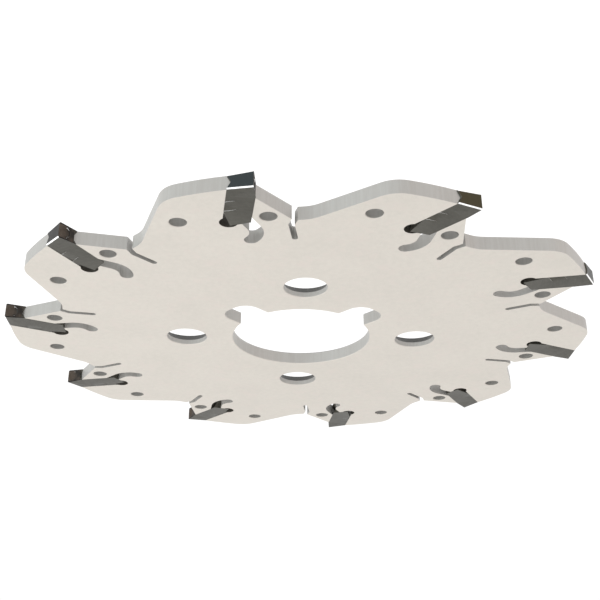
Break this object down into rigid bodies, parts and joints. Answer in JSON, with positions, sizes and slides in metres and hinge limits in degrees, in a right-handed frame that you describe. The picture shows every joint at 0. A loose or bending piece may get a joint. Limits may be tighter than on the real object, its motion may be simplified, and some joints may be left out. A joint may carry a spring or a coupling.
{
  "type": "indexable slotting cutter",
  "caption": "Thin disc-shaped slotting cutter: steel body with bore, keyways and drive holes, and carbide inserts gripped in slotted rim pockets.",
  "frame": {"origin": "on the bore axis at half the disc's thickness", "axes": "+Z along the bore axis towards the face without countersinks; +Y through one keyway and the cutting edge of insert_01; +X through the other keyway"},
  "size_m": [0.1578, 0.16, 0.004],
  "materials": {
    "body_steel": "even satin light grey",
    "insert_carbide": "dark satin, read as coated carbide"
  },
  "bodies": {
    "body": {"cutter_body": "body_steel"},
    "insert_01": {"insert_01": "insert_carbide"},
    "insert_02": {"insert_02": "insert_carbide"},
    "insert_03": {"insert_03": "insert_carbide"},
    "insert_04": {"insert_04": "insert_carbide"},
    "insert_05": {"insert_05": "insert_carbide"},
    "insert_06": {"insert_06": "insert_carbide"},
    "insert_07": {"insert_07": "insert_carbide"},
    "insert_08": {"insert_08": "insert_carbide"},
    "insert_09": {"insert_09": "insert_carbide"},
    "insert_10": {"insert_10": "insert_carbide"}
  },
  "joints": [
    {"name": "insert_01_slide", "type": "slide", "parent": "body", "child": "insert_01", "axis": [0.2588, 0.9659, 0], "range_m": [0, 0.018]},
    {"name": "insert_02_slide", "type": "slide", "parent": "body", "child": "insert_02", "axis": [0.7771, 0.6293, 0], "range_m": [0, 0.018]},
    {"name": "insert_03_slide", "type": "slide", "parent": "body", "child": "insert_03", "axis": [0.9986, 0.0523, 0], "range_m": [0, 0.018]},
    {"name": "insert_04_slide", "type": "slide", "parent": "body", "child": "insert_04", "axis": [0.8387, -0.5446, 0], "range_m": [0, 0.018]},
    {"name": "insert_05_slide", "type": "slide", "parent": "body", "child": "insert_05", "axis": [0.3584, -0.9336, 0], "range_m": [0, 0.018]},
    {"name": "insert_06_slide", "type": "slide", "parent": "body", "child": "insert_06", "axis": [-0.2588, -0.9659, 0], "range_m": [0, 0.018]},
    {"name": "insert_07_slide", "type": "slide", "parent": "body", "child": "insert_07", "axis": [-0.7771, -0.6293, 0], "range_m": [0, 0.018]},
    {"name": "insert_08_slide", "type": "slide", "parent": "body", "child": "insert_08", "axis": [-0.9986, -0.0523, 0], "range_m": [0, 0.018]},
    {"name": "insert_09_slide", "type": "slide", "parent": "body", "child": "insert_09", "axis": [-0.8387, 0.5446, 0], "range_m": [0, 0.018]},
    {"name": "insert_10_slide", "type": "slide", "parent": "body", "child": "insert_10", "axis": [-0.3584, 0.9336, 0], "range_m": [0, 0.018]}
  ]
}
